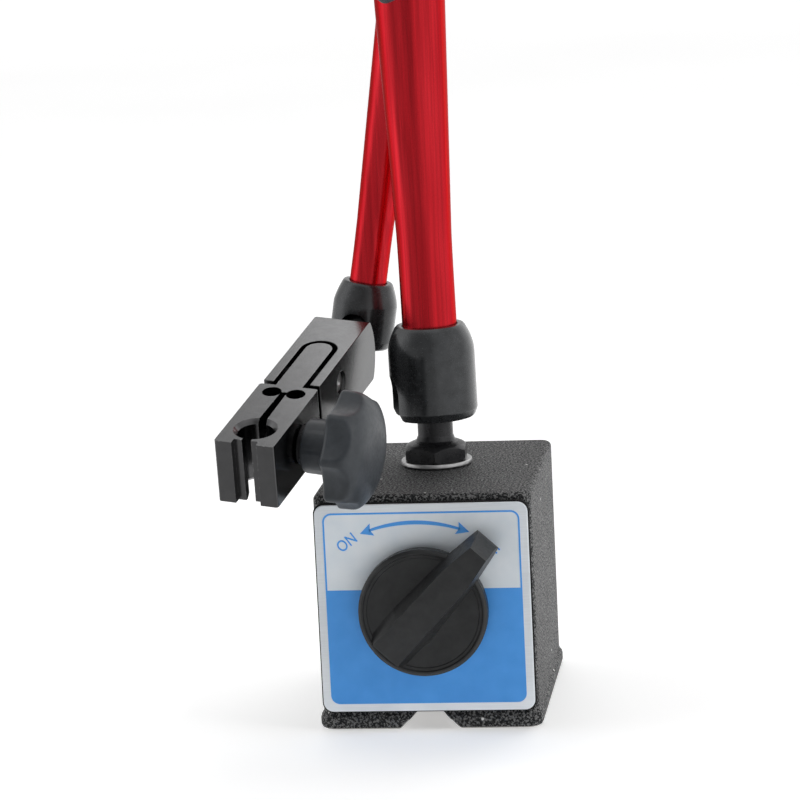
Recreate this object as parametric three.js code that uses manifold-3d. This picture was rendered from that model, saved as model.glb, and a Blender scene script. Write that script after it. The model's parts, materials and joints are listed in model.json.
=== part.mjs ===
// Folding holder for a dial indicator, on a switchable magnetic base.
// Millimetres, +Z up. Built around the middle of the base's underside, then moved so that
// the origin is the bottom centre of the whole stand's box.
import * as THREE from 'three';
import { mergeVertices } from 'three/addons/utils/BufferGeometryUtils.js';
import Module from 'manifold-3d';

const wasm = await Module();
wasm.setup();

// ---- driving dimensions -------------------------------------------------------------
const RAD = Math.PI / 180;
const GAP = 0.3; // between pieces that would touch
const ROUND = 24; // sides of a visible round
const SMALL = 16; // sides of a small or hidden round

// magnetic base
const BASE = { width: 50, depth: 60, height: 55, corner: 3, edge: 1.2 };
const FOOT = { flare: 0.8, height: 4, chamfer: 0.8 };
const DIVIDER = 3; // width of the non-magnetic strip between the poles
const VEE = { width: 14, depth: 7 };
const ROTOR = { radius: 15, bore: 15.4, height: 28.6, flange: 2.5 };
const SPINDLE = 4.9;
const END_DISC = { radius: 15.1, thickness: 3.6 };
const STOP = { radius: 11.3, pin: 1.2, angle: 134, swing: 88, spare: 3, depth: 4 };
const PLATE = { width: 48.8, top: 53.2, bottom: 4.6, corner: 2.2, thickness: 0.8, pad: 0.7 };
const DIAL = { radius: 14.8, thickness: 3.8, rim: 1.1, sink: 0.9 };
const LEVER = { angle: 48.5, foot: 4.4, crest: 2.2, tail: 13.7, shoulder: 14, reach: 22.5, rise: 8.4 };
const TIE = { radius: 1.6, half: 20, row: 21, low: 10.1, high: 49.9 };

// stud on top of the base
const STUD = { back: 3.8, hex: 14, hexTurn: 3, hexHeight: 3.7, thread: 4, threadDepth: 7.6 };
const WASHER = { radius: 8.4, thickness: 1.2 };
const BALL_HEIGHT = 72.5;

// arms: each is drawn with its ball at the origin and its tube along +Z
const LOWER = {
  ball: 7.5, neck: 4.15, journal: 3, cup: 10.15, bore: 7.8, mouth: 6.1, lip: 5.6, split: 9.6,
  shoulder: 9.6, swell: 1.9, rim: 7.95, top: 15.9, slot: 4.5, slotAngle: 196, tube: 6.4, wall: 1.5, straight: 35.5,
  taper: 0.032, length: 108.9, hub: 13, hubHalf: 8.5, rod: 2.2, thrust: 7.4, lean: -0.87,
};
const UPPER = {
  ball: 5.6, neck: 3.1, journal: 2.2, cup: 7.6, bore: 5.9, mouth: 5, lip: 4.3, split: 7.5,
  shoulder: 5.2, swell: 1.4, rim: 5.85, top: 10.7, slot: 3.6, tube: 4.4, wall: 1.2, straight: 23,
  taper: 0.0285, length: 96.95, hub: 11.5, hubHalf: 6.8, rod: 1.6, thrust: 5.5, lean: 9.87,
};
const ARM_OFFSET = 16; // upper arm behind the lower arm, along the elbow's axis
const SPIGOT = 9; // length of each hub's spigot in its tube
const ROD_TRAVEL = 0.4;

// elbow
const BOLT = 3;
const WEDGE = { big: 5.9, small: 4.7, half: 5 };
const ELBOW_BORE = 6.3;
const LOCK_KNOB = { tip: 17, valley: 15, lobes: 8, collar: 7.5, collarLength: 3.4, body: 8.4 };

// indicator clamp: drawn with the tip ball at the origin, its long axis along -Y
const CLAMP = { yaw: -12.96, pitch: 16.53, roll: 1.49 };
const BLOCK = { headWidth: 14.2, forkWidth: 13.7, half: 7.66, front: -76.4, rear: -10.3 };
const REAR_ROUND = 14;
const SHOULDER = { y: -48, gap: 1.6 };
const TONGUE = { width: 6.4, end: -25.7, bottom: -3, gap: 1.2 };
const FORK_FLOOR = -4.3;
const STEM = { radius: 4.05, chamfer: 1, y: -69 };
const SLIT = { front: 2.3, back: 1.5 };
const EAR = { radius: 2.25, x: 2.9, y: -51.4 };
const DOVETAIL = { width: 5.9, depth: 1.7 };
const CROSS_PIN = { radius: 2.5, y: -33.3, z: 2, half: 6.4 };
const CLAMP_SCREW = { radius: 2.5, y: -60.4 };
const CLAMP_KNOB = { tip: 13.7, valley: 11.9, lobes: 8, collar: 6.2, collarLength: 7.3, body: 8.9 };
const CLAMP_FLANGE = { radius: 4.6, thickness: 1.2 };
const FINE = { y: -42, radius: 2, head: 5, headHeight: 4.6, hole: 2.5 };
const SPRING = { radius: 2.8, wire: 0.35, turns: 2, pocket: 2 };

// ---- materials ----------------------------------------------------------------------
function finish(color, roughness, metalness) {
  return new THREE.MeshStandardMaterial({ color, roughness, metalness });
}
const paint = finish(0x4b4c4c, 0.75, 0.2);
const brass = finish(0xb08d4c, 0.4, 1);
const aluminium = finish(0xb9bec2, 0.4, 1);
const label = finish(0xbcc3cb, 0.45, 0.4);
const foam = finish(0x15161a, 0.95, 0);
const plastic = finish(0x26282a, 0.5, 0);
const slate = finish(0x3a3f46, 0.6, 0);
const ferrite = finish(0x3a3835, 0.8, 0.1);
const steel = finish(0xc9cbcc, 0.3, 1);
const blackSteel = finish(0x1d1e1f, 0.35, 0.7);
const socketBlack = finish(0x2b2d2e, 0.4, 0.6);
const anodisedRed = finish(0xb01822, 0.25, 0.8);
const anodisedBlack = finish(0x35363a, 0.35, 0.7);

// ---- solid helpers ------------------------------------------------------------------
function toSolid(geometry) {
  const bare = geometry.clone();
  bare.deleteAttribute('normal');
  bare.deleteAttribute('uv');
  const merged = mergeVertices(bare, 1e-4);
  return new wasm.Manifold(new wasm.Mesh({
    numProp: 3,
    vertProperties: new Float32Array(merged.attributes.position.array),
    triVerts: new Uint32Array(merged.index.array),
  }));
}

function toGeometry(solid) {
  const mesh = solid.getMesh();
  const geometry = new THREE.BufferGeometry();
  geometry.setAttribute('position', new THREE.BufferAttribute(mesh.vertProperties, 3));
  geometry.setIndex(new THREE.BufferAttribute(mesh.triVerts, 1));
  geometry.computeVertexNormals();
  return geometry;
}

function box(x0, x1, y0, y1, z0, z1) {
  const geometry = new THREE.BoxGeometry(x1 - x0, y1 - y0, z1 - z0);
  geometry.translate((x0 + x1) / 2, (y0 + y1) / 2, (z0 + z1) / 2);
  return toSolid(geometry);
}

// profile: [radius, height] pairs, from the axis round to the axis, or a closed ring
function turned(profile, sides = ROUND) {
  const points = profile.map(([r, z]) => new THREE.Vector2(r, z));
  const area = points.reduce((sum, a, i) => {
    const b = points[(i + 1) % points.length];
    return sum + a.x * b.y - b.x * a.y;
  }, 0);
  if (area < 0) points.reverse();
  if (points[0].x > 0) points.push(points[0].clone());
  const geometry = new THREE.LatheGeometry(points, sides);
  geometry.rotateX(Math.PI / 2);
  return toSolid(geometry);
}

function rod(radius, z0, z1, sides = SMALL) {
  return turned([[0, z0], [radius, z0], [radius, z1], [0, z1]], sides);
}

function tubeSolid(outer, inner, z0, z1, sides = ROUND) {
  return turned([[inner, z0], [outer, z0], [outer, z1], [inner, z1]], sides);
}

function ball(radius, sides = ROUND) {
  const geometry = new THREE.SphereGeometry(radius, sides, sides / 2);
  geometry.rotateX(Math.PI / 2);
  return toSolid(geometry);
}

const alongX = (solid) => solid.rotate([0, 90, 0]);
const alongY = (solid) => solid.rotate([-90, 0, 0]);

// outline in XY pushed up from z0 to z1
function pushed(shape, z0, z1, curveSegments = 6) {
  const geometry = new THREE.ExtrudeGeometry(shape, {
    depth: z1 - z0, bevelEnabled: false, curveSegments,
  });
  geometry.translate(0, 0, z0);
  return toSolid(geometry);
}

function roundedRect(width, height, corner, midX = 0, midY = 0) {
  const [w, h] = [width / 2, height / 2];
  const shape = new THREE.Shape();
  shape.absarc(midX + w - corner, midY - h + corner, corner, -Math.PI / 2, 0);
  shape.absarc(midX + w - corner, midY + h - corner, corner, 0, Math.PI / 2);
  shape.absarc(midX - w + corner, midY + h - corner, corner, Math.PI / 2, Math.PI);
  shape.absarc(midX - w + corner, midY - h + corner, corner, Math.PI, 1.5 * Math.PI);
  return shape;
}

function polygon(points) {
  return new THREE.Shape(points.map(([x, y]) => new THREE.Vector2(x, y)));
}

// star grip outline: wide hollows that meet in narrow crests
function starOutline({ tip, valley, lobes }, steps = 48) {
  const points = [];
  for (let i = 0; i < steps; i += 1) {
    const angle = (2 * Math.PI * i) / steps;
    const swing = 1 - Math.abs(Math.sin((lobes * angle) / 2));
    const radius = valley + (tip - valley) * swing;
    points.push(new THREE.Vector2(radius * Math.cos(angle), radius * Math.sin(angle)));
  }
  return new THREE.Shape(points);
}

// star grip with its collar on z = 0 and its body above it; the hollows end in its round dome
function starGrip(knob, boreRadius, boreDepth) {
  const { tip, valley, collarLength, body } = knob;
  const top = collarLength + body;
  const star = pushed(starOutline(knob), collarLength, top);
  const envelope = turned([[0, collarLength], [tip - 1.3, collarLength],
    [tip + 0.2, collarLength + 1.4], [tip + 0.2, top - 5.6], [tip - 0.6, top - 4.1],
    [valley - 0.1, top - 2.9], [tip * 0.72, top - 1.4], [tip * 0.42, top - 0.4], [0, top]]);
  const collar = rod(knob.collar, 0, collarLength + 2, ROUND);
  const bore = rod(boreRadius, -1, boreDepth);
  return star.intersect(envelope).add(collar).subtract(bore);
}

function place(parent, name, solid, material) {
  const mesh = new THREE.Mesh(toGeometry(solid), material);
  mesh.name = name;
  parent.add(mesh);
  return mesh;
}

function frameIn(parent, x, y, z) {
  const frame = new THREE.Group();
  frame.position.set(x, y, z);
  parent.add(frame);
  return frame;
}

// ---- magnetic base ------------------------------------------------------------------
function baseBlock() {
  const { width, depth, height, corner, edge } = BASE;
  const body = pushed(roundedRect(width, depth, corner), 0, height - edge, 3);
  const cap = new THREE.ExtrudeGeometry(roundedRect(width, depth, corner), {
    depth: 0.01, bevelSize: edge, bevelThickness: edge, bevelOffset: -edge, bevelSegments: 2,
    curveSegments: 3,
  });
  cap.translate(0, 0, height - edge - 0.01);
  const wide = 2 * FOOT.flare;
  const foot = new THREE.ExtrudeGeometry(roundedRect(width + wide, depth + wide, corner), {
    depth: FOOT.height - 2 * FOOT.chamfer, bevelSize: FOOT.chamfer, bevelThickness: FOOT.chamfer,
    bevelOffset: -FOOT.chamfer, bevelSegments: 1, curveSegments: 3,
  });
  foot.translate(0, 0, FOOT.chamfer);
  return body.add(toSolid(cap)).add(toSolid(foot));
}

function veePrism() {
  const half = VEE.width / 2;
  const slope = VEE.depth / half;
  const over = 1;
  const outline = polygon([[-half - over, -over * slope], [half + over, -over * slope],
    [0, VEE.depth]]);
  return pushed(outline, -BASE.depth, BASE.depth).rotate([90, 0, 0]);
}

function baseHollows() {
  const bore = alongY(rod(ROTOR.bore, -BASE.depth, BASE.depth, 32))
    .translate([0, 0, ROTOR.height]);
  const stud = rod(STUD.thread + GAP, BASE.height - STUD.threadDepth - GAP, BASE.height + 1)
    .translate([0, STUD.back, 0]);
  let hollows = bore.add(stud).add(veePrism());
  for (const [y, z] of tiePlaces()) {
    const reach = TIE.half + GAP;
    hollows = hollows.add(alongX(rod(TIE.radius + 0.2, -reach, reach, 12)).translate([0, y, z]));
  }
  return hollows;
}

function tiePlaces() {
  return [[-TIE.row, TIE.low], [TIE.row, TIE.low], [-TIE.row, TIE.high], [TIE.row, TIE.high]];
}

function buildPoles(base) {
  const metal = baseBlock().subtract(baseHollows());
  const inner = DIVIDER / 2 + 0.05;
  const far = BASE.width;
  const left = metal.intersect(box(-far, -inner, -far, far, -1, far * 2));
  const right = metal.intersect(box(inner, far, -far, far, -1, far * 2));
  place(base, 'left_pole', left, paint);
  place(base, 'right_pole', right, paint);
  const strip = metal.intersect(box(-DIVIDER / 2, DIVIDER / 2, -far, far, -1, far * 2));
  const middle = ROTOR.height;
  const upper = strip.intersect(box(-far, far, -far, far, middle, far * 2));
  const lower = strip.intersect(box(-far, far, -far, far, -1, middle));
  place(base, 'upper_divider', upper, brass);
  place(base, 'lower_divider', lower, brass);
  tiePlaces().forEach(([y, z], i) => {
    const pin = alongX(rod(TIE.radius, -TIE.half, TIE.half, 12)).translate([0, y, z]);
    place(base, `tie_pin_${i + 1}`, pin, brass);
  });
}

function buildEnds(base) {
  const front = -BASE.depth / 2 + GAP;
  const back = BASE.depth / 2 - GAP;
  const { radius, thickness } = END_DISC;
  const bearing = alongY(tubeSolid(radius, SPINDLE + 0.2, front, front + thickness));
  place(base, 'front_bearing', bearing.translate([0, 0, ROTOR.height]), brass);
  const [pinX, pinZ] = [
    STOP.radius * Math.cos(STOP.angle * RAD), STOP.radius * Math.sin(STOP.angle * RAD)];
  const pinHole = rod(STOP.pin + 0.15, back - thickness - 1, back - 1, 12)
    .translate([pinX, -pinZ, 0]);
  const plug = rod(radius, back - thickness, back, ROUND).subtract(pinHole);
  place(base, 'rear_plug', alongY(plug).translate([0, 0, ROTOR.height]), aluminium);
  const pin = alongY(rod(STOP.pin, back - thickness - STOP.depth, back - 1.2, 12));
  place(base, 'stop_pin', pin.translate([pinX, 0, ROTOR.height + pinZ]), steel);
}

function buildNameplate(base) {
  const height = PLATE.top - PLATE.bottom;
  const middle = (PLATE.top + PLATE.bottom) / 2;
  const sheet = (shrink, hole, y0, thickness) => {
    const shape = roundedRect(PLATE.width - shrink, height - shrink, PLATE.corner, 0, middle);
    const solid = pushed(shape, 0, thickness).subtract(
      rod(hole, -1, thickness + 1, ROUND).translate([0, ROTOR.height, 0]));
    return solid.rotate([90, 0, 0]).translate([0, y0, 0]);
  };
  const face = -BASE.depth / 2;
  place(base, 'nameplate_pad', sheet(-0.5, SPINDLE + 1.6, face - 0.05, PLATE.pad), foam);
  const plateBack = face - 0.1 - PLATE.pad;
  place(base, 'nameplate', sheet(0, SPINDLE + 1, plateBack, PLATE.thickness), label);
}

// segment of the round rotor on one side of the magnet slab
function rotorSegment(y0, y1, side) {
  const half = 5.3;
  const round = alongY(rod(ROTOR.radius, y0, y1, ROUND));
  const keep = side > 0 ? box(-20, 20, y0 - 1, y1 + 1, half, 20)
    : box(-20, 20, y0 - 1, y1 + 1, -20, -half);
  return round.intersect(keep);
}

// arc groove that the stop pin runs in; when off the pin stands at its left end
function stopGroove(back) {
  const clear = STOP.pin + 0.35;
  const start = (-STOP.angle - STOP.spare) * RAD;
  const end = (-STOP.angle + STOP.swing + STOP.spare) * RAD;
  const spot = (angle) => [STOP.radius * Math.cos(angle), STOP.radius * Math.sin(angle)];
  const shape = new THREE.Shape();
  shape.absarc(0, 0, STOP.radius + clear, start, end, false);
  shape.absarc(...spot(end), clear, end, end + Math.PI, false);
  shape.absarc(0, 0, STOP.radius - clear, end, start, true);
  shape.absarc(...spot(start), clear, start + Math.PI, start + 2 * Math.PI, false);
  return alongY(pushed(shape, back - STOP.depth - 1, back + 1));
}

function buildRotor(rotor) {
  const front = -BASE.depth / 2 + GAP + END_DISC.thickness + GAP;
  const back = BASE.depth / 2 - GAP - END_DISC.thickness - GAP;
  const start = front + ROTOR.flange + GAP;
  const flange = rod(ROTOR.radius - 0.3, front, front + ROTOR.flange, ROUND);
  const spindle = flange.add(rod(SPINDLE, -BASE.depth / 2 - 4.2, front + 1));
  place(rotor, 'rotor_spindle', alongY(spindle), steel);
  place(rotor, 'rotor_magnet', box(-13.8, 13.8, start, back, -5, 5), ferrite);
  const upper = rotorSegment(start, back, 1).subtract(stopGroove(back));
  place(rotor, 'rotor_upper_core', upper, steel);
  place(rotor, 'rotor_lower_core', rotorSegment(start, back, -1), steel);
}

// bar across the disc, rising and narrowing to its long end, which points along +X
function leverBar() {
  const { foot, crest, tail, shoulder, reach, rise } = LEVER;
  const side = polygon([[-tail, 0], [reach, 0], [reach, 2.1], [reach - 2.2, rise], [-tail + 1, 2],
    [-tail, 1.2]]);
  const bar = pushed(side, -foot, foot).rotate([90, 0, 0]);
  const plan = polygon([[-tail, -foot], [shoulder, -foot], [reach, 1.3 - foot],
    [reach, foot - 1.3], [shoulder, foot], [-tail, foot]]);
  const wall = polygon([[-foot, -1], [foot, -1], [crest, rise + 1], [-crest, rise + 1]]);
  const draft = pushed(wall, -60, 60).rotate([90, 0, 90]);
  return bar.intersect(pushed(plan, -1, rise + 1)).intersect(draft);
}

function buildDial(rotor) {
  const { radius, thickness, rim, sink } = DIAL;
  const disc = turned([[0, 0], [radius, 0], [radius, thickness - 1], [radius - 0.5, thickness],
    [radius - rim, thickness], [radius - rim - 0.4, thickness - sink], [0, thickness - sink]]);
  const bar = leverBar().translate([0, 0, thickness - sink - 0.5]).rotate([0, 0, LEVER.angle]);
  const bore = rod(SPINDLE + 0.2, -1, 2.6);
  const dial = disc.add(bar).subtract(bore);
  const seat = -BASE.depth / 2 - 0.1 - PLATE.pad - PLATE.thickness - GAP;
  place(rotor, 'switch_knob', dial.rotate([90, 0, 0]).translate([0, seat, 0]), plastic);
}

function buildStud(base) {
  const seat = BASE.height + 0.1;
  const washerTop = seat + WASHER.thickness;
  const ringHole = STUD.thread + 0.3;
  const washer = tubeSolid(WASHER.radius, ringHole, seat, washerTop);
  place(base, 'stud_washer', washer.translate([0, STUD.back, 0]), steel);
  const hexBottom = washerTop + 0.1;
  const hexTop = hexBottom + STUD.hexHeight;
  const corner = STUD.hex / 2 / Math.cos(30 * RAD);
  const prism = turned([[0, hexBottom], [corner, hexBottom], [corner, hexTop], [0, hexTop]], 6)
    .rotate([0, 0, STUD.hexTurn]);
  const crown = turned([[0, hexBottom], [8, hexBottom], [8, hexTop - 1.2], [6.2, hexTop],
    [LOWER.neck, hexTop + 0.7], [0, hexTop + 0.7]]);
  const neckTop = BALL_HEIGHT - ballFlat(LOWER) - 0.2;
  const neck = rod(LOWER.neck, hexBottom, neckTop, ROUND);
  const journal = rod(LOWER.journal, neckTop - 1, BALL_HEIGHT + 3.5);
  const thread = rod(STUD.thread, BASE.height - STUD.threadDepth, hexBottom + 1);
  const stud = prism.intersect(crown).add(neck).add(journal).add(thread);
  place(base, 'base_stud', stud.translate([0, STUD.back, 0]), blackSteel);
}

// ---- ball joints and arms -----------------------------------------------------------
// distance from the ball's centre to the flat that faces the neck
function ballFlat(arm) {
  return Math.sqrt(arm.ball ** 2 - arm.neck ** 2) - 0.05;
}

// ball with a blind bore for the stud's journal, open downwards
function ballSolid(arm) {
  const flat = -ballFlat(arm);
  const cut = box(-20, 20, -20, 20, -20, flat);
  const bore = rod(arm.journal + 0.2, -20, arm.ball * 0.5);
  return ball(arm.ball).subtract(cut).subtract(bore);
}

// slot in the cup's side and mouth that the stud swings into
function socketSlot(arm, angle) {
  const end = alongX(rod(arm.slot, 0, arm.cup + 2, ROUND));
  const leg = box(0, arm.cup + 2, -arm.slot, arm.slot, -arm.mouth - 2, 0);
  return end.add(leg).rotate([0, 0, angle]);
}

function buildSocket(frame, prefix, arm, slotAngle) {
  const { cup, bore, mouth, lip, split, shoulder, rim, top } = arm;
  const seat = [];
  const lowest = Math.asin(lip / bore);
  for (let i = 0; i <= 6; i += 1) {
    const angle = lowest + ((Math.PI / 2 - lowest) * i) / 6;
    seat.push([bore * Math.sin(angle), -bore * Math.cos(angle)]);
  }
  const hole = arm.tube + 0.2;
  const inside = [[bore, split - GAP], [hole, split + GAP], [hole, top]];
  const dome = [];
  for (let i = 6; i >= 0; i -= 1) {
    const t = i / 6;
    dome.push([cup - (cup - rim) * t ** arm.swell, shoulder + (top - shoulder) * t]);
  }
  const outside = [[cup, 1.7 - mouth], [cup - 0.85, -mouth], [lip + 0.5, -mouth]];
  const shell = turned([...seat, ...inside, ...dome, ...outside]);
  place(frame, `${prefix}_socket`, shell.subtract(socketSlot(arm, slotAngle)), socketBlack);
}

function tubeRadiusAt(arm, z) {
  return arm.tube + Math.max(0, z - arm.straight) * arm.taper;
}

function tubeEnd(arm) {
  return arm.length - arm.hub - GAP;
}

function buildTube(frame, prefix, arm) {
  const end = tubeEnd(arm);
  const [low, high] = [arm.split + 0.6, tubeRadiusAt(arm, end)];
  const wall = arm.wall;
  const profile = [[arm.tube - wall, low], [arm.tube, low], [arm.tube, arm.straight],
    [high, end], [high - wall, end], [arm.tube - wall, arm.straight]];
  place(frame, `${prefix}_tube`, turned(profile), anodisedRed);
}

// hub with a neck that meets the tube and a spigot inside it
function buildHub(frame, prefix, arm) {
  const end = tubeEnd(arm);
  const high = tubeRadiusAt(arm, end);
  const spigotRadius = tubeRadiusAt(arm, end - SPIGOT) - arm.wall - 0.25;
  const drum = alongY(turned([[0, -arm.hubHalf], [arm.hub - 0.8, -arm.hubHalf],
    [arm.hub, 0.8 - arm.hubHalf], [arm.hub, arm.hubHalf - 0.8], [arm.hub - 0.8, arm.hubHalf],
    [0, arm.hubHalf]])).translate([0, 0, arm.length]);
  const neck = rod(Math.min(high, arm.hubHalf - 0.4), end + 0.1, arm.length - 4, ROUND);
  const spigot = rod(spigotRadius, end - SPIGOT, end + 1);
  const cross = alongY(rod(ELBOW_BORE, -arm.hubHalf - 1, arm.hubHalf + 1, ROUND))
    .translate([0, 0, arm.length]);
  const rodBore = rod(arm.rod + 0.3, end - SPIGOT - 1, arm.length);
  const hub = drum.add(neck).add(spigot).subtract(cross).subtract(rodBore);
  place(frame, `${prefix}_hub`, hub, anodisedBlack);
}

// thrust cup and push rod that press the ball when the elbow is locked
function buildPush(frame, prefix, arm) {
  const edge = arm.ball * 0.62;
  const cupTop = arm.split - 2 * GAP - ROD_TRAVEL - 0.1;
  const cup = rod(arm.thrust, edge, cupTop, ROUND).subtract(ball(arm.ball + GAP));
  place(frame, `${prefix}_thrust_cup`, cup, brass);
  const rodTop = arm.length - WEDGE.big - ROD_TRAVEL - GAP;
  place(frame, `${prefix}_push_rod`, rod(arm.rod, cupTop + 0.2, rodTop, 16), steel);
}

// ---- elbow --------------------------------------------------------------------------
function wedge(y) {
  const { big, small, half } = WEDGE;
  const bore = BOLT + 0.2;
  return alongY(turned([[bore, -half], [big, -half], [small, half], [bore, half]]))
    .translate([0, y, 0]);
}

function buildElbow(frame) {
  const front = -LOWER.hubHalf;
  const rear = ARM_OFFSET + UPPER.hubHalf;
  const grip = starGrip(LOCK_KNOB, BOLT + 0.2, 9).rotate([0, 0, 32]).rotate([90, 0, 0]);
  place(frame, 'lock_knob', grip.translate([0, front - 1.2, 0]), slate);
  const thrust = alongY(tubeSolid(8, BOLT + 0.3, front - 0.9, front - 0.2));
  place(frame, 'lock_washer', thrust, steel);
  const bolt = alongY(rod(BOLT, front - 9.2, rear + 4.4)).add(
    alongY(rod(5.4, rear + 1.4, rear + 4.4, ROUND)));
  place(frame, 'elbow_bolt', bolt, blackSteel);
  place(frame, 'lower_wedge', wedge(0), steel);
  place(frame, 'upper_wedge', wedge(ARM_OFFSET), steel);
  const between = (front * -1 + (ARM_OFFSET - UPPER.hubHalf)) / 2;
  const friction = alongY(tubeSolid(10.5, ELBOW_BORE + 0.4, between - 0.2, between + 0.2));
  place(frame, 'friction_washer', friction, brass);
  const cap = alongY(tubeSolid(8.6, BOLT + 0.3, rear + 0.3, rear + 1.2));
  place(frame, 'rear_washer', cap, steel);
}

// ---- indicator clamp ----------------------------------------------------------------
// block outline seen from above, with small corner rounds
function blockPlan(width, y0, y1) {
  return roundedRect(width, y1 - y0, 0.6, 0, (y0 + y1) / 2);
}

// outline of the U that the tongue lies in, seen from above
function tonguePlan(width, front, end) {
  const half = width / 2;
  const shape = new THREE.Shape();
  shape.moveTo(-half, front);
  shape.lineTo(half, front);
  shape.absarc(0, end - half, half, 0, Math.PI);
  return shape;
}

function slitPlan() {
  const { front, back } = SLIT;
  return polygon([[-front / 2, BLOCK.front - 1], [front / 2, BLOCK.front - 1],
    [back / 2, EAR.y + 0.4], [-back / 2, EAR.y + 0.4]]);
}

function headHollows() {
  const tall = BLOCK.half + 1;
  const low = -tall;
  const edge = BLOCK.half - STEM.chamfer;
  const wide = STEM.radius + STEM.chamfer;
  let hollows = pushed(slitPlan(), low, tall);
  const stem = turned([[0, low], [wide + 1, low], [STEM.radius, -edge], [STEM.radius, edge],
    [wide + 1, tall], [0, tall]]);
  hollows = hollows.add(stem.translate([0, STEM.y, 0]));
  for (const x of [-EAR.x, EAR.x]) {
    hollows = hollows.add(rod(EAR.radius, low, tall).translate([x, EAR.y, 0]));
  }
  const groove = DOVETAIL.width / 2;
  hollows = hollows.add(box(-groove, groove, BLOCK.front - 1, BLOCK.front + DOVETAIL.depth, low,
    tall));
  const screw = alongX(rod(CLAMP_SCREW.radius + 0.25, -9, 9));
  hollows = hollows.add(screw.translate([0, CLAMP_SCREW.y, 0]));
  hollows = hollows.add(pinHole());
  const fine = rod(FINE.hole, TONGUE.bottom - 1, 5);
  return hollows.add(fine.translate([0, FINE.y, 0]));
}

function pinHole() {
  const reach = BLOCK.forkWidth / 2 + 1;
  return alongX(rod(CROSS_PIN.radius + 0.2, -reach, reach))
    .translate([0, CROSS_PIN.y, CROSS_PIN.z]);
}

function buildHead(frame) {
  const { headWidth, half, front } = BLOCK;
  const block = pushed(blockPlan(headWidth, front, SHOULDER.y), -half, half);
  const tongue = pushed(tonguePlan(TONGUE.width, SHOULDER.y - 2, TONGUE.end), TONGUE.bottom,
    half, 10);
  place(frame, 'clamp_head', block.add(tongue).subtract(headHollows()), anodisedBlack);
}

function buildFork(frame) {
  const { forkWidth, half, rear } = BLOCK;
  const front = SHOULDER.y + SHOULDER.gap;
  const block = pushed(blockPlan(forkWidth, front, rear), -half, half);
  const nose = alongX(rod(REAR_ROUND, -10, 10, 48)).translate([0, rear - REAR_ROUND, 0]);
  const body = box(-10, 10, front - 1, rear - REAR_ROUND, -10, 10);
  const wide = TONGUE.width + 2 * TONGUE.gap;
  const channel = pushed(tonguePlan(wide, front - 2, TONGUE.end + TONGUE.gap), FORK_FLOOR,
    half + 1, 10);
  const screwHole = rod(FINE.radius + 0.4, -half - 1, half).translate([0, FINE.y, 0]);
  const studHole = alongY(rod(UPPER.journal + 0.45, rear - 10.5, rear + 1));
  const pocket = rod(SPRING.radius + 0.7, FORK_FLOOR - SPRING.pocket, FORK_FLOOR + 1)
    .translate([0, FINE.y, 0]);
  const fork = block.intersect(nose.add(body)).subtract(channel).subtract(screwHole)
    .subtract(pocket).subtract(studHole).subtract(pinHole());
  place(frame, 'clamp_fork', fork, anodisedBlack);
  const pin = alongX(rod(CROSS_PIN.radius, -CROSS_PIN.half, CROSS_PIN.half));
  place(frame, 'cross_pin', pin.translate([0, CROSS_PIN.y, CROSS_PIN.z]), steel);
}

function buildTipStud(frame) {
  const flat = -ballFlat(UPPER) - 0.2;
  const neck = rod(UPPER.neck, BLOCK.rear + 0.3, flat, ROUND);
  const journal = rod(UPPER.journal, flat - 1, 2.4);
  const thread = rod(UPPER.journal + 0.15, BLOCK.rear - 10, BLOCK.rear + 1);
  place(frame, 'tip_stud', alongY(neck.add(journal).add(thread)), blackSteel);
}

function buildSpring(frame) {
  const { radius, wire, turns } = SPRING;
  const low = FORK_FLOOR - SPRING.pocket + wire + 0.15;
  const high = FORK_FLOOR + 0.2;
  const route = new THREE.Curve();
  route.getPoint = (t, target = new THREE.Vector3()) => {
    const angle = 2 * Math.PI * turns * t;
    return target.set(radius * Math.cos(angle), radius * Math.sin(angle), low + (high - low) * t);
  };
  const section = new THREE.Shape().absarc(0, 0, wire, 0, 2 * Math.PI);
  const coil = new THREE.ExtrudeGeometry(section, {
    steps: 24, curveSegments: 3, bevelEnabled: false, extrudePath: route,
  });
  place(frame, 'adjust_spring', toSolid(coil).translate([0, FINE.y, 0]), steel);
}

function buildFineScrew(frame) {
  const top = -BLOCK.half - GAP;
  const bottom = top - FINE.headHeight;
  const shank = rod(FINE.radius, top - 1, 3.6, 16);
  const head = turned([[0, bottom], [FINE.head - 0.5, bottom], [FINE.head, bottom + 0.5],
    [FINE.head, top - 0.9], [FINE.head - 0.9, top], [0, top]], 24);
  place(frame, 'adjust_screw', shank.add(head).translate([0, FINE.y, 0]), steel);
}

function buildClampKnob(frame) {
  const seat = BLOCK.headWidth / 2 + GAP;
  const knobSeat = seat + CLAMP_FLANGE.thickness + GAP;
  const grip = starGrip(CLAMP_KNOB, CLAMP_SCREW.radius + 0.2, 10.3).rotate([0, 0, -15]);
  place(frame, 'clamp_knob', alongX(grip).translate([knobSeat, 0, 0]), slate);
  const shank = rod(CLAMP_SCREW.radius, -BLOCK.headWidth / 2 + 0.3, knobSeat + 10);
  const flange = rod(CLAMP_FLANGE.radius, seat, seat + CLAMP_FLANGE.thickness, ROUND);
  place(frame, 'clamp_screw', alongX(shank.add(flange)), blackSteel);
}

// ---- the stand ----------------------------------------------------------------------
const stand = new THREE.Group();
const base = frameIn(stand, 0, 0, 0);
buildPoles(base);
buildEnds(base);
buildNameplate(base);
buildStud(base);

const rotor = frameIn(base, 0, 0, ROTOR.height);
buildRotor(rotor);
buildDial(rotor);

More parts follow.
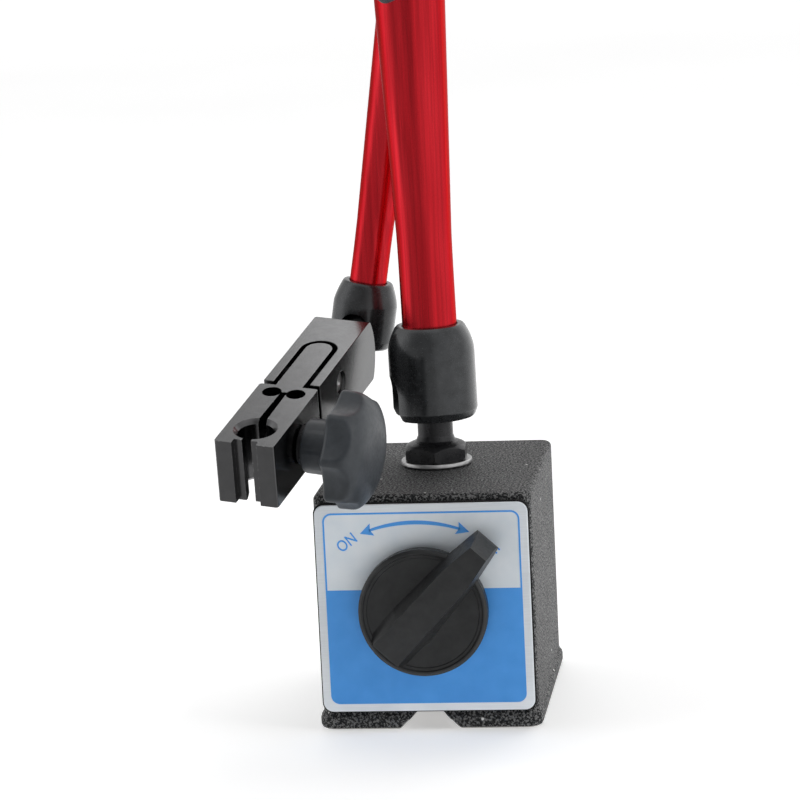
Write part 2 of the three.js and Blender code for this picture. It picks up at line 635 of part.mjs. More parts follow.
const lowerArm = frameIn(base, 0, STUD.back, BALL_HEIGHT);
place(lowerArm, 'lower_ball', ballSolid(LOWER), steel).rotation.y = -LOWER.lean * RAD;
lowerArm.rotation.y = LOWER.lean * RAD;
buildSocket(lowerArm, 'lower', LOWER, LOWER.slotAngle);
buildTube(lowerArm, 'lower', LOWER);
buildHub(lowerArm, 'lower', LOWER);
buildPush(lowerArm, 'lower', LOWER);

const elbow = frameIn(lowerArm, 0, 0, LOWER.length);
buildElbow(elbow);

// the upper arm hangs from the elbow, so its ball frame lies one arm length below it
const fold = frameIn(elbow, 0, ARM_OFFSET, 0);
fold.rotation.y = (UPPER.lean - LOWER.lean) * RAD;
const upperArm = frameIn(fold, 0, 0, -UPPER.length);

// the clamp's own frame keeps its direction to the base, whatever the arms do
stand.updateMatrixWorld(true);
const tip = new THREE.Vector3().setFromMatrixPosition(upperArm.matrixWorld);
const clamp = frameIn(base, tip.x, tip.y, tip.z);
clamp.rotation.set(CLAMP.pitch * RAD, CLAMP.roll * RAD, CLAMP.yaw * RAD, 'YXZ');

// the tip socket's slot faces along the clamp, in the upper arm's frame
stand.updateMatrixWorld(true);
const forward = new THREE.Vector3(0, -1, 0).transformDirection(clamp.matrixWorld)
  .transformDirection(upperArm.matrixWorld.clone().invert());
const tipSlotAngle = Math.atan2(forward.y, forward.x) / RAD;
buildSocket(upperArm, 'tip', UPPER, tipSlotAngle);
buildTube(upperArm, 'upper', UPPER);
buildHub(upperArm, 'upper', UPPER);
buildPush(upperArm, 'upper', UPPER);

place(clamp, 'tip_ball', alongY(ballSolid(UPPER)), steel);
buildTipStud(clamp);
buildFork(clamp);
buildSpring(clamp);
buildFineScrew(clamp);
buildHead(clamp);
buildClampKnob(frameIn(clamp, 0, CLAMP_SCREW.y, 0));

// origin at the bottom centre of the whole box
const extent = new THREE.Box3().setFromObject(stand, true);
const centre = extent.getCenter(new THREE.Vector3());
base.position.set(-centre.x, -centre.y, -extent.min.z);

export default stand;
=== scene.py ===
# Looks of the folding indicator holder: fine meshes, materials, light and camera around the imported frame.
import json
import math

import bmesh
import bpy
import numpy as np
from mathutils import Matrix, Vector


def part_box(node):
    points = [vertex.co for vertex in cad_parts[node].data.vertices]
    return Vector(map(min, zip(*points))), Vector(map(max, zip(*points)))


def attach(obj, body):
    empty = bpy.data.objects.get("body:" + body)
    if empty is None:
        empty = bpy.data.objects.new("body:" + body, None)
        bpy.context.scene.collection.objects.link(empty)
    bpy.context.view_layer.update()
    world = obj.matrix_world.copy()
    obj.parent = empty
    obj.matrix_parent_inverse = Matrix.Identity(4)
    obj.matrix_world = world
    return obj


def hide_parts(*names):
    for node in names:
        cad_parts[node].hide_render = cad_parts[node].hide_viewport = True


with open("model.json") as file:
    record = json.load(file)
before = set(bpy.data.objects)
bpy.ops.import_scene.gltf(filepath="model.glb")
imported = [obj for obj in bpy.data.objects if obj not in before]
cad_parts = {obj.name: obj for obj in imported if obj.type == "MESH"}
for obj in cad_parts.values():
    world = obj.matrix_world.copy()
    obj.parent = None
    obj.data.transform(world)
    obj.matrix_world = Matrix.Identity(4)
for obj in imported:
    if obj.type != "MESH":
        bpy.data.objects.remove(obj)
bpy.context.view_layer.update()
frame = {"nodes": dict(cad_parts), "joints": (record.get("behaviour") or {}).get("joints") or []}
MM = 0.001
TAU = 2 * math.pi


# ---- shapes: (vertices in mm, faces) ------------------------------------------------------
def moved(shape, matrix):
    verts, faces = shape
    m = np.array(matrix)
    return verts @ m[:3, :3].T + m[:3, 3], faces


def shift(x=0, y=0, z=0):
    return Matrix.Translation((x, y, z))


def turn(degrees, axis):
    return Matrix.Rotation(math.radians(degrees), 4, axis)


TO_Y = turn(-90, "X")     # local +Z becomes +Y
TO_FRONT = turn(90, "X")  # local +Z becomes -Y, local +Y becomes +Z
TO_X = turn(90, "Y")      # local +Z becomes +X


def loft(rings, closed=False):
    """Closed rings of equal length, joined in order. A ring of one point is a tip."""
    verts, starts, faces = [], [], []
    for ring in rings:
        starts.append(len(verts))
        verts += [tuple(p) for p in ring]
    spans = list(zip(range(len(rings)), range(1, len(rings))))
    if closed:
        spans.append((len(rings) - 1, 0))
    for a, b in spans:
        na, nb = len(rings[a]), len(rings[b])
        n = max(na, nb)
        for i in range(n):
            j = (i + 1) % n
            quad = [starts[a] + i % na, starts[a] + j % na, starts[b] + j % nb, starts[b] + i % nb]
            face = [v for k, v in enumerate(quad) if v not in quad[:k]]
            if len(face) > 2:
                faces.append(face)
    if not closed:
        if len(rings[0]) > 2:
            faces.append([starts[0] + i for i in reversed(range(len(rings[0])))])
        if len(rings[-1]) > 2:
            faces.append([starts[-1] + i for i in range(len(rings[-1]))])
    return np.array(verts, float), faces


def softened(profile, steps=4):
    """Rounds the corners of a line of (r, z, fillet radius) points."""
    out = []
    pts = [(np.array(p[:2], float), p[2] if len(p) > 2 else 0) for p in profile]
    for i, (p, r) in enumerate(pts):
        if r <= 0 or i in (0, len(pts) - 1):
            out.append(tuple(p))
            continue
        a, b = pts[i - 1][0] - p, pts[i + 1][0] - p
        la, lb = np.linalg.norm(a), np.linalg.norm(b)
        a, b = a / la, b / lb
        half = math.acos(max(-1, min(1, float(a @ b)))) / 2
        reach = min(r / math.tan(half), la * 0.49, lb * 0.49)
        true_r = reach * math.tan(half)
        mid = p + (a + b) / np.linalg.norm(a + b) * true_r / math.sin(half)
        s, e = p + a * reach - mid, p + b * reach - mid
        for k in range(steps + 1):
            t = k / steps
            d = s * (1 - t) + e * t
            out.append(tuple(mid + d / np.linalg.norm(d) * true_r))
    return out


def lathe(profile, seg=96, steps=4):
    """Turned about Z. Points (r, z[, fillet]) from the axis round to the axis, or a closed ring."""
    pts = softened(profile, steps)
    rings = []
    for r, z in pts:
        if r < 1e-6:
            rings.append([(0, 0, z)])
        else:
            rings.append([(r * math.cos(TAU * i / seg), r * math.sin(TAU * i / seg), z) for i in range(seg)])
    return loft(rings, closed=pts[0][0] > 1e-6)


def rod(radius, z0, z1, seg=64, edge=0.0):
    return lathe([(0, z0), (radius, z0, edge), (radius, z1, edge), (0, z1)], seg)


def ring(outer, inner, z0, z1, seg=96, edge=0.0):
    start = ((outer + inner) / 2, z0)   # on a flat side, as the first point can't be rounded
    return lathe([start, (outer, z0, edge), (outer, z1, edge), (inner, z1, edge), (inner, z0, edge)], seg)


def prism(outline, z0, z1):
    return loft([[(x, y, z0) for x, y in outline], [(x, y, z1) for x, y in outline]])


def brick(x0, x1, y0, y1, z0, z1):
    return prism([(x0, y0), (x1, y0), (x1, y1), (x0, y1)], z0, z1)


def arc(cx, cy, r, a0, a1, n):
    return [(cx + r * math.cos(math.radians(a0 + (a1 - a0) * i / n)),
             cy + r * math.sin(math.radians(a0 + (a1 - a0) * i / n))) for i in range(n + 1)]


def rounded(w, h, r, n=6, cx=0, cy=0):
    x, y = w / 2 - r, h / 2 - r
    return (arc(cx + x, cy - y, r, -90, 0, n) + arc(cx + x, cy + y, r, 0, 90, n)
            + arc(cx - x, cy + y, r, 90, 180, n) + arc(cx - x, cy - y, r, 180, 270, n))


# ---- mesh work ---------------------------------------------------------------------------
def mesh_of(shape, name="scratch"):
    me = bpy.data.meshes.new(name)
    me.from_pydata([tuple(v * MM) for v in shape[0]], [], shape[1])
    bm = bmesh.new()
    bm.from_mesh(me)
    bmesh.ops.remove_doubles(bm, verts=bm.verts, dist=1e-7)
    bmesh.ops.recalc_face_normals(bm, faces=bm.faces)
    if bm.calc_volume() < 0:
        bmesh.ops.reverse_faces(bm, faces=bm.faces)
    bm.to_mesh(me)
    bm.free()
    return me


def object_of(mesh, name="scratch"):
    o = bpy.data.objects.new(name, mesh)
    bpy.context.scene.collection.objects.link(o)
    return o


def evaluated(o):
    bpy.context.view_layer.update()
    dg = bpy.context.evaluated_depsgraph_get()
    me = bpy.data.meshes.new_from_object(o.evaluated_get(dg))
    o.modifiers.clear()
    old = o.data
    o.data = me
    if old.users == 0:
        bpy.data.meshes.remove(old)
    return o


def carve(shape, minus=(), plus=()):
    """Boolean differences and unions, in order: what is added first, then what is cut."""
    o = object_of(mesh_of(shape))
    for other, kind in [(s, "UNION") for s in plus] + [(s, "DIFFERENCE") for s in minus]:
        c = object_of(mesh_of(other))
        m = o.modifiers.new("b", "BOOLEAN")
        m.operation, m.solver, m.object = kind, "EXACT", c
        evaluated(o)
        bpy.data.objects.remove(c)
    me = o.data
    verts = np.array([v.co for v in me.vertices], float) / MM
    faces = [list(p.vertices) for p in me.polygons]
    bpy.data.objects.remove(o)
    return verts, faces


def piece(name, shape, place, body, materials, replaces=(), bevel=0.0, segments=2,
          limit=38, smooth=32, pick=None):
    """A finished piece: bevelled, shaded by angle, in place in the row frame, riding on its body."""
    o = object_of(mesh_of(shape, name), name)
    if bevel:
        m = o.modifiers.new("bevel", "BEVEL")
        m.width, m.segments, m.limit_method = bevel * MM, segments, "ANGLE"
        m.angle_limit, m.harden_normals, m.miter_outer = math.radians(limit), False, "MITER_ARC"
        evaluated(o)
    me = o.data
    bm = bmesh.new()
    bm.from_mesh(me)
    bmesh.ops.remove_doubles(bm, verts=bm.verts, dist=2e-7)
    for f in bm.faces:
        f.smooth = True
    for e in bm.edges:
        e.smooth = len(e.link_faces) == 2 and e.calc_face_angle(0) < math.radians(smooth)
    bm.to_mesh(me)
    bm.free()
    m = o.modifiers.new("normals", "WEIGHTED_NORMAL")
    m.keep_sharp, m.weight = True, 60
    evaluated(o)
    o.data.name = name
    materials = materials if isinstance(materials, (list, tuple)) else [materials]
    o.data.materials.clear()
    for mat in materials:
        o.data.materials.append(mat)
    if pick:
        for p in o.data.polygons:
            p.material_index = pick(Vector(p.center) / MM, p.normal)
    scaled = place.copy()
    scaled.translation = scaled.translation * MM
    o.data.transform(scaled)
    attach(o, body)
    if replaces:
        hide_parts(*replaces)
    return o


# ---- materials ---------------------------------------------------------------------------
class Nodes:
    """A small helper for one procedural material in the piece's own coordinates, in mm."""

    def __init__(self, name, color=(0.5, 0.5, 0.5), metallic=0.0, roughness=0.5, **sockets):
        self.mat = bpy.data.materials.new(name)
        self.mat.use_nodes = True
        self.tree = self.mat.node_tree
        self.bsdf = self.tree.nodes["Principled BSDF"]
        self.bsdf.inputs["Base Color"].default_value = (*color, 1)
        self.bsdf.inputs["Metallic"].default_value = metallic
        self.bsdf.inputs["Roughness"].default_value = roughness
        for key, value in sockets.items():
            self.bsdf.inputs[key.replace("_", " ")].default_value = value
        coord = self.new("ShaderNodeTexCoord")
        scale = self.new("ShaderNodeMapping")
        scale.inputs["Scale"].default_value = (1000, 1000, 1000)
        self.link(coord.outputs["Object"], scale.inputs["Vector"])
        self.mm = scale.outputs["Vector"]

    def new(self, kind, **settings):
        n = self.tree.nodes.new(kind)
        for k, v in settings.items():
            setattr(n, k, v)
        return n

    def link(self, a, b):
        self.tree.links.new(a, b)

    def noise(self, size, detail=2.0, rough=0.5, stretch=None, distort=0.0):
        """Noise whose features are about size mm across, 0 to 1."""
        vector = self.mm
        if stretch:
            m = self.new("ShaderNodeMapping")
            m.inputs["Scale"].default_value = stretch
            self.link(vector, m.inputs["Vector"])
            vector = m.outputs["Vector"]
        n = self.new("ShaderNodeTexNoise")
        n.inputs["Scale"].default_value = 1 / size
        n.inputs["Detail"].default_value = detail
        n.inputs["Roughness"].default_value = rough
        n.inputs["Distortion"].default_value = distort
        self.link(vector, n.inputs["Vector"])
        return n.outputs["Fac"]

    def cells(self, size, feature="F1"):
        n = self.new("ShaderNodeTexVoronoi", feature=feature)
        n.inputs["Scale"].default_value = 1 / size
        self.link(self.mm, n.inputs["Vector"])
        return n.outputs["Distance"]

    def ramp(self, fac, *stops):
        """stops: (position, value or colour)."""
        r = self.new("ShaderNodeValToRGB")
        els = r.color_ramp.elements
        while len(els) < len(stops):
            els.new(0.5)
        for e, (at, v) in zip(els, stops):
            e.position = at
            e.color = (*v, 1) if hasattr(v, "__len__") else (v, v, v, 1)
        self.link(fac, r.inputs["Fac"])
        return r.outputs["Color"]

    def mix(self, fac, a, b, mode="MIX"):
        n = self.new("ShaderNodeMix", data_type="RGBA", blend_type=mode)
        for socket, v in ((n.inputs["Factor"], fac), (n.inputs[6], a), (n.inputs[7], b)):
            if isinstance(v, bpy.types.NodeSocket):
                self.link(v, socket)
            elif hasattr(v, "__len__"):
                socket.default_value = (*v, 1)
            else:
                socket.default_value = v if socket.type == "VALUE" else (v, v, v, 1)
        return n.outputs[2]

    def math(self, op, a, b=0.0):
        n = self.new("ShaderNodeMath", operation=op)
        for socket, v in ((n.inputs[0], a), (n.inputs[1], b)):
            if isinstance(v, bpy.types.NodeSocket):
                self.link(v, socket)
            else:
                socket.default_value = v
        return n.outputs[0]

    def color(self, out):
        self.link(out, self.bsdf.inputs["Base Color"])

    def rough(self, out):
        self.link(out, self.bsdf.inputs["Roughness"])

    def bump(self, *layers):
        """layers: (height 0 to 1, depth in mm)."""
        normal = None
        for height, depth in layers:
            b = self.new("ShaderNodeBump")
            b.inputs["Strength"].default_value = 1.0
            b.inputs["Distance"].default_value = depth * MM
            self.link(height, b.inputs["Height"])
            if normal:
                self.link(normal, b.inputs["Normal"])
            normal = b.outputs["Normal"]
        self.link(normal, self.bsdf.inputs["Normal"])

    def edges(self, radius, low, high):
        """1 on convex edges, 0 on flats, from the bevelled normal."""
        bevel = self.new("ShaderNodeBevel", samples=6)
        bevel.inputs["Radius"].default_value = radius * MM
        geo = self.new("ShaderNodeNewGeometry")
        dot = self.new("ShaderNodeVectorMath", operation="DOT_PRODUCT")
        self.link(bevel.outputs["Normal"], dot.inputs[0])
        self.link(geo.outputs["Normal"], dot.inputs[1])
        return self.ramp(self.math("SUBTRACT", 1.0, dot.outputs["Value"]), (low, 0.0), (high, 1.0))


def textured_paint():
    n = Nodes("textured_paint", roughness=0.55, Specular_IOR_Level=0.2)
    grain = n.noise(0.5, 2.0, 0.7)
    lumps = n.noise(1.5, 2.0, 0.5)
    tone = n.ramp(grain, (0.44, (0.004, 0.005, 0.006)), (0.5, (0.024, 0.025, 0.026)), (0.57, (0.2, 0.2, 0.2)))
    cloud = n.ramp(n.noise(9, 3), (0.3, 0.82), (0.7, 1.12))
    tone = n.mix(1.0, tone, cloud, "MULTIPLY")
    nick = n.ramp(n.cells(7.5), (0.036, (0.85, 0.84, 0.82)), (0.05, (0.0, 0.0, 0.0)))
    n.color(n.mix(1.0, tone, nick, "ADD"))
    n.rough(n.ramp(grain, (0.3, 0.62), (0.7, 0.42)))
    n.bump((lumps, 0.2), (grain, 0.5))
    return n.mat


def ground_steel():
    n = Nodes("ground_steel", metallic=1.0, roughness=0.3)
    lines = n.noise(0.35, 3.0, 0.7, stretch=(1.0, 0.02, 1.0))
    n.color(n.ramp(lines, (0.3, (0.40, 0.39, 0.38)), (0.7, (0.66, 0.655, 0.64))))
    n.rough(n.ramp(n.noise(4, 3), (0.3, 0.24), (0.7, 0.42)))
    n.bump((lines, 0.012))
    return n.mat


def turned_metal(name, dark, light, rough=(0.16, 0.3), ridges=0.01, metallic=1.0, size=0.25):
    n = Nodes(name, metallic=metallic, roughness=rough[0])
    fine = n.noise(size, 3.0, 0.65)
    n.color(n.ramp(n.noise(3.2, 3.0, 0.55), (0.3, dark), (0.72, light)))
    n.rough(n.ramp(n.noise(1.1, 3.0), (0.3, rough[0]), (0.7, rough[1])))
    n.bump((fine, ridges))
    return n.mat


def anodised(name, deep, bright, rough=(0.2, 0.3), metallic=0.94, coat=0.08):
    """Drawn, anodised tube: fine lines along the tube's own axis and slow patches in the dye."""
    n = Nodes(name, metallic=metallic, roughness=rough[0], Coat_Weight=coat, Coat_Roughness=0.12,
              Specular_Tint=(0.58, 0.10, 0.13, 1))
    lines = n.noise(0.5, 2.0, 0.6, stretch=(1.0, 1.0, 0.015))
    dye = n.ramp(n.noise(6, 2.0, 0.5, stretch=(1, 1, 0.12)), (0.3, deep), (0.7, bright))
    drawn = n.ramp(n.noise(1.1, 3.0, 0.6, stretch=(1, 1, 0.01)), (0.36, 0.78), (0.64, 1.12))
    n.color(n.mix(1.0, dye, drawn, "MULTIPLY"))
    n.rough(n.ramp(lines, (0.3, rough[0]), (0.7, rough[1])))
    n.bump((lines, 0.006))
    return n.mat


def black_anodised(name, dark, light, rough=(0.28, 0.42), metallic=0.5, edge_wear_and_highlight=0.12, coat=0.0):
    n = Nodes(name, metallic=metallic, roughness=rough[0], Coat_Weight=coat, Coat_Roughness=0.16)
    tone = n.ramp(n.noise(2.6, 4.0, 0.6), (0.3, dark), (0.7, light))
    # lighter grey on convex edges: partly wear, partly a painted highlight where the edges catch the light
    worn_and_lit_edges = n.edges(0.32, 0.01, 0.16)
    scratch = n.ramp(n.noise(0.5, 3.0, 0.7), (0.5, 0.0), (0.75, edge_wear_and_highlight))
    tone = n.mix(n.math("MULTIPLY", worn_and_lit_edges, scratch), tone, (0.55, 0.55, 0.55))
    n.color(tone)
    n.rough(n.ramp(n.noise(0.9, 4.0, 0.65), (0.3, rough[0]), (0.7, rough[1])))
    n.bump((n.noise(0.16, 2.0), 0.006))
    return n.mat


def plastic(name, dark, light, rough=(0.42, 0.56), grain=0.012, size=0.22, specular=0.4):
    n = Nodes(name, roughness=rough[0], Specular_IOR_Level=specular)
    n.color(n.ramp(n.noise(3.5, 4.0, 0.6), (0.3, dark), (0.7, light)))
    n.rough(n.ramp(n.noise(0.8, 3.0), (0.3, rough[0]), (0.7, rough[1])))
    n.bump((n.noise(size, 2.0), grain), (n.noise(2.5, 2.0), 0.03))
    return n.mat


def foil():
    n = Nodes("label_foil", metallic=0.35, roughness=0.34)
    brushed = n.noise(0.3, 3.0, 0.6, stretch=(0.04, 1.0, 1.0))
    sheen = n.ramp(n.noise(14, 2.0), (0.3, (0.80, 0.85, 0.90)), (0.7, (0.92, 0.96, 1.0)))
    n.color(n.mix(1.0, sheen, n.ramp(brushed, (0.3, 0.95), (0.7, 1.03)), "MULTIPLY"))
    n.rough(n.ramp(brushed, (0.3, 0.3), (0.7, 0.42)))
    n.bump((brushed, 0.003))
    return n.mat


def ink(name, dark, light, rough=0.42):
    n = Nodes(name, roughness=rough)
    n.color(n.ramp(n.noise(5, 3.0), (0.3, dark), (0.7, light)))
    n.rough(n.ramp(n.noise(0.7, 3.0), (0.3, rough), (0.7, rough + 0.1)))
    n.bump((n.noise(0.3, 2.0), 0.003))
    return n.mat


PAINT = textured_paint()
GROUND = ground_steel()
STEEL = turned_metal("bright_steel", (0.50, 0.50, 0.50), (0.74, 0.74, 0.73))
ZINC = turned_metal("zinc", (0.34, 0.34, 0.34), (0.52, 0.52, 0.52), (0.26, 0.4), 0.03)
BLACK_STEEL = turned_metal("black_steel", (0.012, 0.012, 0.014), (0.032, 0.032, 0.034), (0.24, 0.38), 0.01,
                           metallic=0.4)
BRASS = turned_metal("brass", (0.50, 0.32, 0.12), (0.68, 0.48, 0.20), (0.22, 0.36))
ALLOY = turned_metal("core_alloy", (0.55, 0.56, 0.57), (0.72, 0.73, 0.74), (0.25, 0.4))
FERRITE = plastic("ferrite", (0.035, 0.033, 0.03), (0.07, 0.066, 0.06), (0.6, 0.8), 0.05, 0.5)
FOIL = foil()
BLUE = ink("blue_ink", (0.055, 0.35, 0.92), (0.072, 0.40, 1.0))
PALE = ink("pale_panel", (0.80, 0.88, 0.95), (0.88, 0.94, 0.99), 0.36)
FOAM_AND_GAP_SHADE = plastic("foam_black", (0.008, 0.008, 0.009), (0.02, 0.02, 0.02), (0.8, 0.95), 0.06, 0.35, 0.2)
SWITCH = plastic("black_plastic", (0.014, 0.015, 0.016), (0.026, 0.027, 0.028), (0.36, 0.5), 0.01)
SLATE = plastic("slate_plastic", (0.026, 0.031, 0.037), (0.044, 0.050, 0.058), (0.34, 0.46), 0.012, 0.35)
RED = anodised("red_anodised", (0.52, 0.014, 0.022), (0.66, 0.024, 0.036), (0.19, 0.29))
SOCKET = black_anodised("socket_black", (0.028, 0.030, 0.032), (0.047, 0.050, 0.053), (0.2, 0.3),
                        metallic=0.5, edge_wear_and_highlight=0.16, coat=0.3)
# the clamp block's strong edge lightening is mostly a painted highlight along its edges
BLOCK = black_anodised("black_anodised", (0.097, 0.097, 0.099), (0.112, 0.112, 0.114), (0.17, 0.22),
                       metallic=1.0, edge_wear_and_highlight=0.9)

# ---- the frames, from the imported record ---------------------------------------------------
joints = {j["name"]: j for j in frame["joints"]}


def point(joint):
    return Vector(joints[joint]["pos_m"]) / MM


def axis(joint):
    return Vector(joints[joint]["axis"]).normalized()


def basis(origin, x, y, z):
    m = Matrix((x, y, z)).transposed().to_4x4()
    m.translation = origin
    return m


left_low, left_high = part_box("left_pole")
right_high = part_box("right_pole")[1]
BASE = shift((left_low.x + right_high.x) / 2 / MM, (left_low.y + left_high.y) / 2 / MM, left_low.z / MM)
WIDE, DEEP, TALL = 50, 60, 55   # the magnet block
SWITCH_Z = 28.6                 # height of the switch's axis over the feet
DIAL = BASE @ shift(0, 0, SWITCH_Z)
STUD = BASE @ shift(0, 3.8, 0)  # the mounting stud stands a little behind the block's middle
lower_ball, elbow, tip = point("lower_swivel"), point("elbow_fold"), point("tip_tilt")
Y = Vector((0, 1, 0))
up = (elbow - lower_ball).normalized()
LOWER = basis(lower_ball, Y.cross(up), Y, up)
ELBOW = basis(elbow, Y.cross(up), Y, up)
ARM_OFFSET = tip.y - elbow.y
up = (elbow + Y * ARM_OFFSET - tip).normalized()
UPPER = basis(tip, Y.cross(up), Y, up)
CLAMP = basis(tip, axis("fine_tilt"), -axis("clamp_twist"), axis("fine_screw_turn"))
LOWER_LENGTH = (elbow - lower_ball).length
UPPER_LENGTH = (elbow + Y * ARM_OFFSET - tip).length


# ---- magnetic base ------------------------------------------------------------------------
def base_shell():
    corner, brow = 3.0, 1.2   # radius of the upright corners, and of the edge round the top
    levels = [(0.0, 0.0), (0.35, 0.5), (0.95, 0.78), (2.4, 0.8), (3.1, 0.62), (3.6, 0.2), (4.1, 0.0)]
    for a in np.radians([0, 18, 36, 54, 72, 90]):
        levels.append((TALL - brow + brow * math.sin(a), -brow * (1 - math.cos(a))))
    rings = []
    for z, out in levels:
        outline = rounded(WIDE + 2 * out, DEEP + 2 * out, corner + out, 8)
        rings.append([(x, y, z) for x, y in outline])
    vee = moved(prism([(-8, -1), (8, -1), (0, 7)], -40, 40), TO_FRONT)
    bore = moved(rod(15.4, -40, 40, 96), shift(0, 0, SWITCH_Z) @ TO_Y)
    stud = moved(rod(4.3, 47, 60, 48), shift(0, 3.8, 0))
    pin_spots = [(y, z) for y in (-21, 21) for z in (10.1, 49.9)]
    pins = [moved(rod(1.75, -20.3, 20.3, 24), shift(0, y, z) @ TO_X) for y, z in pin_spots]
    return carve(loft(rings), minus=[vee, bore, stud, *pins])


def sole(centre, normal):
    """Painted all over but underneath: feet and groove are ground, with brass along the groove's crest."""
    across = abs(centre.x)
    faces_down = normal.z < -0.3 and centre.z < 7.2 and across < 24.9
    if faces_down and (centre.z < 0.2 or across < 7.2):
        return 2 if across < 1.6 else 1
    return 0


piece("base_shell", base_shell(), BASE, "base", [PAINT, GROUND, BRASS],
      ("left_pole", "right_pole", "upper_divider", "lower_divider"), bevel=0.3, segments=2, pick=sole)
disc = [(0, 25.9), (15.2, 25.9), (15.2, 29.5, 0.5), (3.5, 29.5), (1.5, 28.9, 0.6), (0, 28.9)]
piece("rear_disc", lathe(disc), DIAL @ TO_Y, "base", ALLOY, ("rear_plug",))


PLATE_WIDE, PLATE_TALL, PLATE_Z = 48.8, 48.6, 28.9


def plate_outline(inset, r):
    return rounded(PLATE_WIDE - 2 * inset, PLATE_TALL - 2 * inset, r, 8)


PLATE = BASE @ shift(0, -30.8, PLATE_Z) @ TO_FRONT   # local X right, Y up, Z towards the viewer
DISC_DROP = SWITCH_Z - PLATE_Z
hole = moved(rod(5.9, -2, 4, 64), shift(0, DISC_DROP, 0))
# black pad 0.3 mm wider than the plate all round: its black rim is painted shade for the shadow in the gap
# round the plate
piece("nameplate_gasket_shade", carve(prism(plate_outline(-0.3, 2.4), -0.72, 0.1), minus=[hole]), PLATE, "base",
      FOAM_AND_GAP_SHADE, ("nameplate_pad",))
piece("nameplate_foil", carve(prism(plate_outline(0.0, 2.3), 0.0, 0.74), minus=[hole]), PLATE, "base",
      FOIL, ("nameplate",), bevel=0.24)
PRINT = PLATE @ shift(0, 0, 0.745)
LINE_IN = 1.85                       # from the plate's edge to the printed line
PANEL_TOP = 4.4                      # upper edge of the blue panel over the plate's middle
EDGE = PLATE_WIDE / 2 - LINE_IN


def printed(name, outlines, material, height=0.03, minus=(), z=0.0):
    shape = prism(outlines[0], z, z + height)
    shape = carve(shape, minus=minus) if minus else shape
    for extra in outlines[1:]:
        part = prism(extra, z, z + height)
        start = len(shape[0])
        shape = (np.vstack([shape[0], part[0]]), shape[1] + [[i + start for i in f] for f in part[1]])
    return piece(name, shape, PRINT, "base", material)


inner = prism(plate_outline(LINE_IN + 0.42, 1.65), -1, 1)
printed("print_outline", [plate_outline(LINE_IN, 2.05)], BLUE, 0.03, [inner])
panel_hole = moved(rod(6.2, -2, 2, 64), shift(0, DISC_DROP, 0))
below = [p for p in plate_outline(LINE_IN, 2.05) if p[1] < 0]
down_left = sorted([p for p in below if p[0] < 0], key=lambda p: -p[1] + abs(p[0]) * 1e-3)
up_right = sorted([p for p in below if p[0] > 0], key=lambda p: p[1] - abs(p[0]) * 1e-3)
panel = [(EDGE, PANEL_TOP), (-EDGE, PANEL_TOP)] + down_left + up_right
printed("print_panel", [panel], BLUE, 0.026, [panel_hole])
above = [p for p in plate_outline(LINE_IN + 0.3, 1.8) if p[1] > 0]
field = [(EDGE - 0.3, PANEL_TOP - 0.1)] + above + [(-EDGE + 0.3, PANEL_TOP - 0.1)]
printed("print_field", [field], PALE, 0.012, [panel_hole])


def arrow():
    """Curved double arrow above the switch, as three closed outlines."""
    r, cx, crest, thick = 32.6, -1.5, 20.0, 0.46
    cy = crest - r
    reach = 18.6                     # degrees to either side of upright
    a0, a1 = 90 + reach, 90 - reach
    steps = 26
    outer, inner_side = [], []
    for i in range(steps + 1):
        t = i / steps
        a = math.radians(a0 + (a1 - a0) * t)
        half = thick * (0.62 + 0.38 * math.sin(math.pi * t))
        outer.append((r + half, a))
        inner_side.append((r - half, a))
    band = [(cx + q * math.cos(a), cy + q * math.sin(a)) for q, a in outer + inner_side[::-1]]
    heads = []
    for a, sign in ((a0, 1), (a1, -1)):
        t = math.radians(a)
        along = Vector((-math.sin(t), math.cos(t))) * sign
        across = Vector((math.cos(t), math.sin(t)))
        foot = Vector((cx + r * math.cos(t), cy + r * math.sin(t))) - along * 0.25
        point_at, barb_1, barb_2 = along * 2.5, across * 1.5 - along * 0.5, -across * 1.5 - along * 0.5
        head = [tuple(foot + point_at), tuple(foot + barb_1), tuple(foot), tuple(foot + barb_2)]
        heads.append(head[::sign])
    return [band[::-1], *heads]


printed("print_arrow", arrow(), BLUE, 0.03, z=0.013)


LETTER = 3.7


def lettering(name, text, x, z, angle, size=LETTER):
    """Generic words on the plate, narrowed a little. z is the height over the feet."""
    curve = bpy.data.curves.new(name, "FONT")
    curve.body, curve.size, curve.extrude = text, size, 0.02
    curve.align_x, curve.align_y = "CENTER", "CENTER"
    curve.space_character, curve.offset = 1.05, 0.035
    o = bpy.data.objects.new(name, curve)
    bpy.context.scene.collection.objects.link(o)
    me = bpy.data.meshes.new_from_object(o)
    verts = np.array([v.co for v in me.vertices], float)
    verts[:, 0] *= 0.82
    faces = [list(p.vertices) for p in me.polygons]
    bpy.data.objects.remove(o)
    spot = PRINT @ shift(x, z - PLATE_Z, 0.03) @ turn(angle, "Z")
    return piece(name, (verts, faces), spot, "base", BLUE)


lettering("print_on", "ON", -17.1, 44.4, 36)
lettering("print_off", "OFF", 14.9, 42.9, -39)

washer = [(6.2, 55.12), (8.1, 55.12, 0.15), (8.45, 55.4, 0.3), (8.3, 56.3, 0.25), (5.2, 56.3, 0.2),
          (4.3, 56.2, 0.1), (4.3, 55.12)]
piece("stud_washer_ring", lathe(washer, 128), STUD, "base", ZINC, ("stud_washer",))


